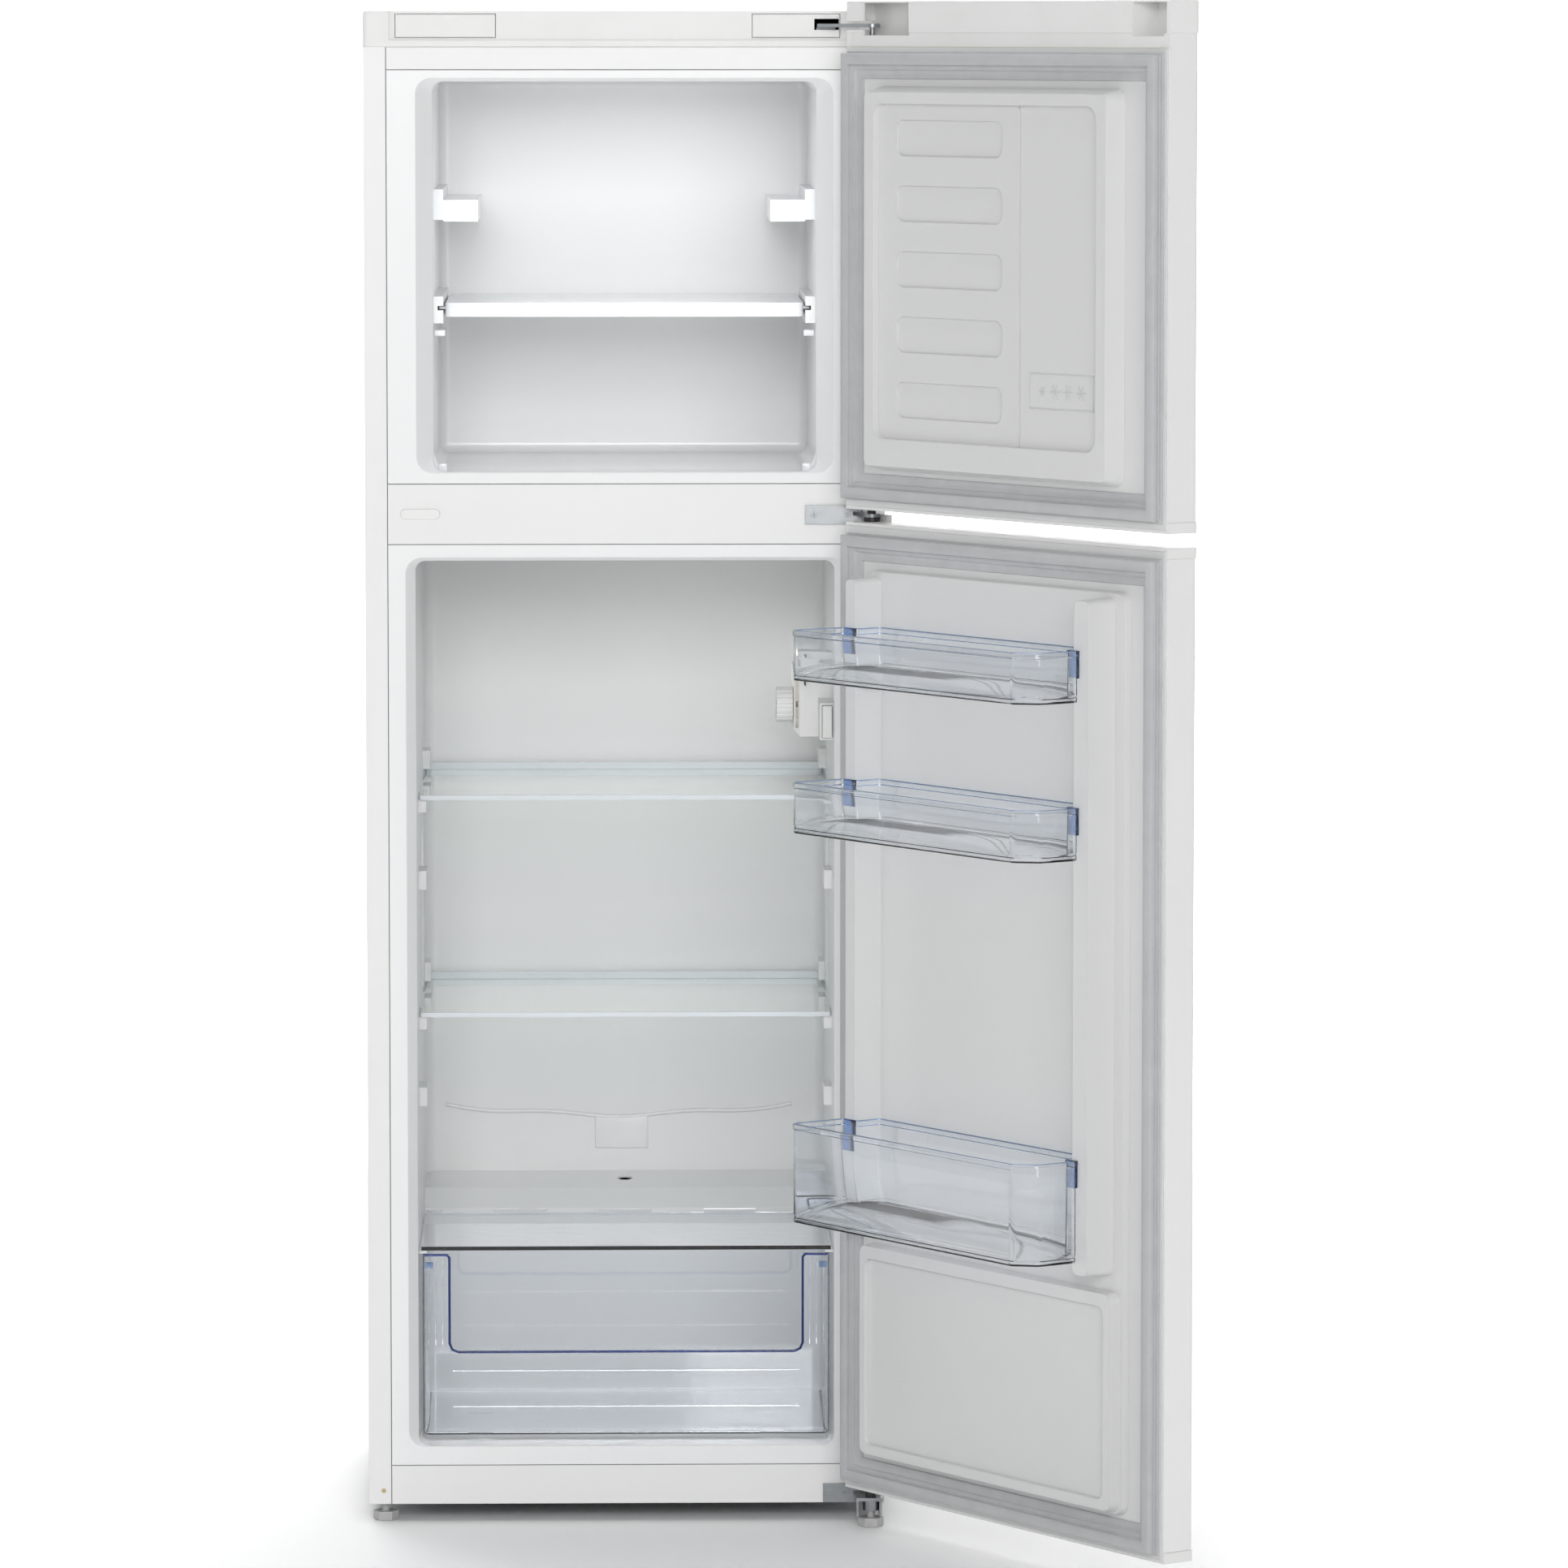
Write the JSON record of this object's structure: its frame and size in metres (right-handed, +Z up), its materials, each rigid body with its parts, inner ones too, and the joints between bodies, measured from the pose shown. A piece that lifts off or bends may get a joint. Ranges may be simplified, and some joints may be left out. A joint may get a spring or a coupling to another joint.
{
  "type": "top freezer refrigerator",
  "caption": "Tall white two-door fridge with the freezer on top; right-hand hinges, glass shelves, clear crisper drawer and clear door baskets.",
  "frame": {"origin": "on the floor, at the middle of the cabinet's width, in the plane of the cabinet's front", "axes": "+Z up, +Y from the doors to the back, +X to the right as seen from the front, where the hinges are"},
  "size_m": [0.9156, 1.0761, 1.75],
  "materials": {
    "outer_paint": "satin",
    "door_paint": "satin",
    "cap_plastic": "satin",
    "liner_plastic": "satin",
    "door_liner_plastic": "satin",
    "shelf_plastic": "gloss",
    "foam": "matte",
    "gasket_rubber": "matte",
    "zinc_steel": "satin",
    "galvanised_sheet": "satin",
    "washer_plastic": "satin",
    "foot_plastic": "satin",
    "roller_plastic": "satin",
    "axle_steel": "satin",
    "shelf_glass": "polished",
    "shelf_trim": "gloss",
    "clear_plastic": "polished",
    "housing_plastic": "satin",
    "knob_plastic": "satin",
    "bulb_glass": "polished",
    "black_enamel": "gloss",
    "mount_rubber": "matte",
    "black_plastic": "matte",
    "drain_plastic": "satin",
    "copper_tube": "satin",
    "cold_plate": "satin"
  },
  "bodies": {
    "cabinet": {"side_panels": "outer_paint", "mullion_bar": "outer_paint", "bottom_rail": "outer_paint", "top_rail": "outer_paint", "top_panel": "outer_paint", "top_cap": "cap_plastic", "hinge_covers": "cap_plastic", "mullion_plug": "cap_plastic", "freezer_liner": "liner_plastic", "fridge_liner": "liner_plastic", "freezer_rails": "shelf_plastic", "insulation_foam": "foam", "top_hinge": "zinc_steel", "middle_hinge": "zinc_steel", "bottom_hinge": "zinc_steel", "hinge_screws": "zinc_steel", "back_panel": "galvanised_sheet", "niche_panel": "galvanised_sheet", "bottom_panel": "galvanised_sheet", "compressor_plate": "galvanised_sheet", "hinge_washers": "washer_plastic", "roller_axles": "axle_steel", "lamp_housing": "housing_plastic", "lamp_bulb": "bulb_glass", "compressor": "black_enamel", "compressor_mounts": "mount_rubber", "relay_cover": "black_plastic", "cord_gland": "black_plastic", "drip_tray": "black_plastic", "wall_spacers": "black_plastic", "drain_tube": "drain_plastic", "refrigerant_tubes": "copper_tube", "condenser_coil": "copper_tube", "evaporators": "cold_plate"},
    "freezer_door": {"freezer_door_skin": "door_paint", "freezer_door_caps": "cap_plastic", "freezer_door_foam": "foam", "freezer_door_liner": "door_liner_plastic", "freezer_door_gasket": "gasket_rubber"},
    "fridge_door": {"fridge_door_skin": "door_paint", "fridge_door_caps": "cap_plastic", "fridge_door_foam": "foam", "fridge_door_liner": "door_liner_plastic", "fridge_door_gasket": "gasket_rubber"},
    "basket_top": {"door_basket_top": "clear_plastic"},
    "basket_middle": {"door_basket_middle": "clear_plastic"},
    "basket_lower": {"door_basket_lower": "clear_plastic"},
    "freezer_shelf": {"freezer_shelf": "shelf_plastic"},
    "upper_shelf": {"upper_shelf_glass": "shelf_glass", "upper_shelf_trim": "shelf_trim"},
    "lower_shelf": {"lower_shelf_glass": "shelf_glass", "lower_shelf_trim": "shelf_trim"},
    "crisper_cover": {"crisper_cover": "clear_plastic"},
    "crisper_drawer": {"crisper_drawer": "clear_plastic"},
    "thermostat_knob": {"thermostat_knob": "knob_plastic"},
    "light_switch": {"light_switch": "housing_plastic"},
    "foot_left": {"foot_left": "foot_plastic"},
    "foot_right": {"foot_right": "foot_plastic"},
    "roller_left": {"roller_left": "roller_plastic"},
    "roller_right": {"roller_right": "roller_plastic"}
  },
  "joints": [
    {"name": "freezer_door_hinge", "type": "hinge", "parent": "cabinet", "child": "freezer_door", "pos_m": [0.281, -0.0405, 1.45], "axis": [0, 0, 1], "range_deg": [-124, 6]},
    {"name": "fridge_door_hinge", "type": "hinge", "parent": "cabinet", "child": "fridge_door", "pos_m": [0.281, -0.0405, 0.6], "axis": [0, 0, 1], "range_deg": [-124, 6]},
    {"name": "basket_top_lift", "type": "slide", "parent": "fridge_door", "child": "basket_top", "axis": [0, 0, 1], "range_m": [0, 0.04]},
    {"name": "basket_middle_lift", "type": "slide", "parent": "fridge_door", "child": "basket_middle", "axis": [0, 0, 1], "range_m": [0, 0.04]},
    {"name": "basket_lower_lift", "type": "slide", "parent": "fridge_door", "child": "basket_lower", "axis": [0, 0, 1], "range_m": [0, 0.04]},
    {"name": "freezer_shelf_slide", "type": "slide", "parent": "cabinet", "child": "freezer_shelf", "axis": [0, -1, 0], "range_m": [0, 0.15]},
    {"name": "upper_shelf_slide", "type": "slide", "parent": "cabinet", "child": "upper_shelf", "axis": [0, -1, 0], "range_m": [0, 0.15]},
    {"name": "lower_shelf_slide", "type": "slide", "parent": "cabinet", "child": "lower_shelf", "axis": [0, -1, 0], "range_m": [0, 0.15]},
    {"name": "crisper_cover_slide", "type": "slide", "parent": "cabinet", "child": "crisper_cover", "axis": [0, -1, 0], "range_m": [0, 0.1]},
    {"name": "crisper_drawer_slide", "type": "slide", "parent": "cabinet", "child": "crisper_drawer", "axis": [0, -1, 0], "range_m": [0, 0.25]},
    {"name": "thermostat_turn", "type": "hinge", "parent": "cabinet", "child": "thermostat_knob", "pos_m": [0.196, 0.158, 0.934], "axis": [1, 0, 0], "range_deg": [-135, 135]},
    {"name": "light_switch_press", "type": "slide", "parent": "cabinet", "child": "light_switch", "axis": [0, -1, 0], "range_m": [-0.004, 0], "stiffness_N_per_m": 250, "springref_m": 0.002},
    {"name": "foot_left_turn", "type": "hinge", "parent": "cabinet", "child": "foot_left", "pos_m": [-0.2785, 0.016, 0.01], "axis": [0, 0, 1], "range_deg": [-180, 180]},
    {"name": "foot_right_turn", "type": "hinge", "parent": "cabinet", "child": "foot_right", "pos_m": [0.281, -0.0405, 0.01], "axis": [0, 0, 1], "range_deg": [-180, 180]},
    {"name": "roller_left_roll", "type": "hinge", "parent": "cabinet", "child": "roller_left", "pos_m": [-0.2615, 0.475, 0.015], "axis": [1, 0, 0], "continuous": true},
    {"name": "roller_right_roll", "type": "hinge", "parent": "cabinet", "child": "roller_right", "pos_m": [0.2615, 0.475, 0.015], "axis": [1, 0, 0], "continuous": true}
  ]
}
